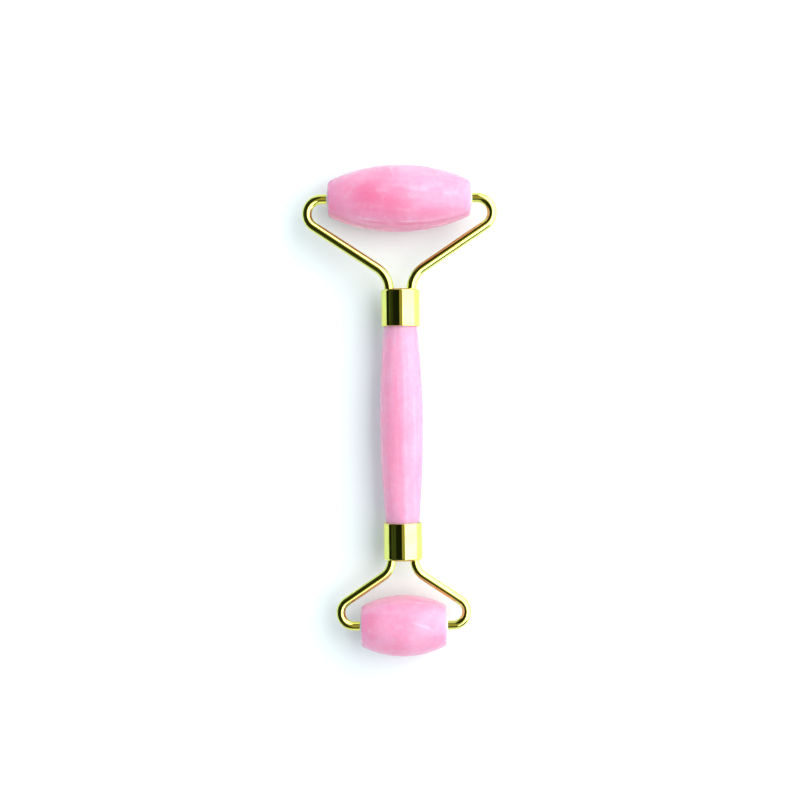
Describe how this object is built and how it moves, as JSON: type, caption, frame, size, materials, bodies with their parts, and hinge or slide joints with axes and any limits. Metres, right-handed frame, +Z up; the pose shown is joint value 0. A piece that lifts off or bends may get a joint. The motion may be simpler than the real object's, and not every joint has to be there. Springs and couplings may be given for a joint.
{
  "type": "facial massage roller",
  "caption": "Facial massage roller: a turned stone handle with a gold wire fork at each end, each holding a free-turning barrel-shaped stone roller.",
  "frame": {"origin": "under the middle of the overall length, on the surface the large roller rests on", "axes": "+Y along the handle towards the large roller, +X along both roller axes, +Z up"},
  "size_m": [0.0576, 0.145, 0.0198],
  "materials": {
    "rose_quartz": "satin polish",
    "gold_plate": "bright polish",
    "nylon": "moulded",
    "cured_adhesive": "cured"
  },
  "bodies": {
    "frame": {"handle_stone": "rose_quartz", "large_ferrule": "gold_plate", "small_ferrule": "gold_plate", "large_fork_wire": "gold_plate", "small_fork_wire": "gold_plate", "large_ferrule_adhesive": "cured_adhesive", "small_ferrule_adhesive": "cured_adhesive"},
    "large_roller": {"large_roller_stone": "rose_quartz", "large_roller_bush_left": "nylon", "large_roller_bush_right": "nylon"},
    "small_roller": {"small_roller_stone": "rose_quartz", "small_roller_bush_left": "nylon", "small_roller_bush_right": "nylon"}
  },
  "joints": [
    {"name": "large_roller_spin", "type": "hinge", "parent": "frame", "child": "large_roller", "pos_m": [0, 0.0626, 0.0099], "axis": [1, 0, 0], "continuous": true},
    {"name": "small_roller_spin", "type": "hinge", "parent": "frame", "child": "small_roller", "pos_m": [0, -0.0635, 0.0099], "axis": [1, 0, 0], "continuous": true}
  ]
}
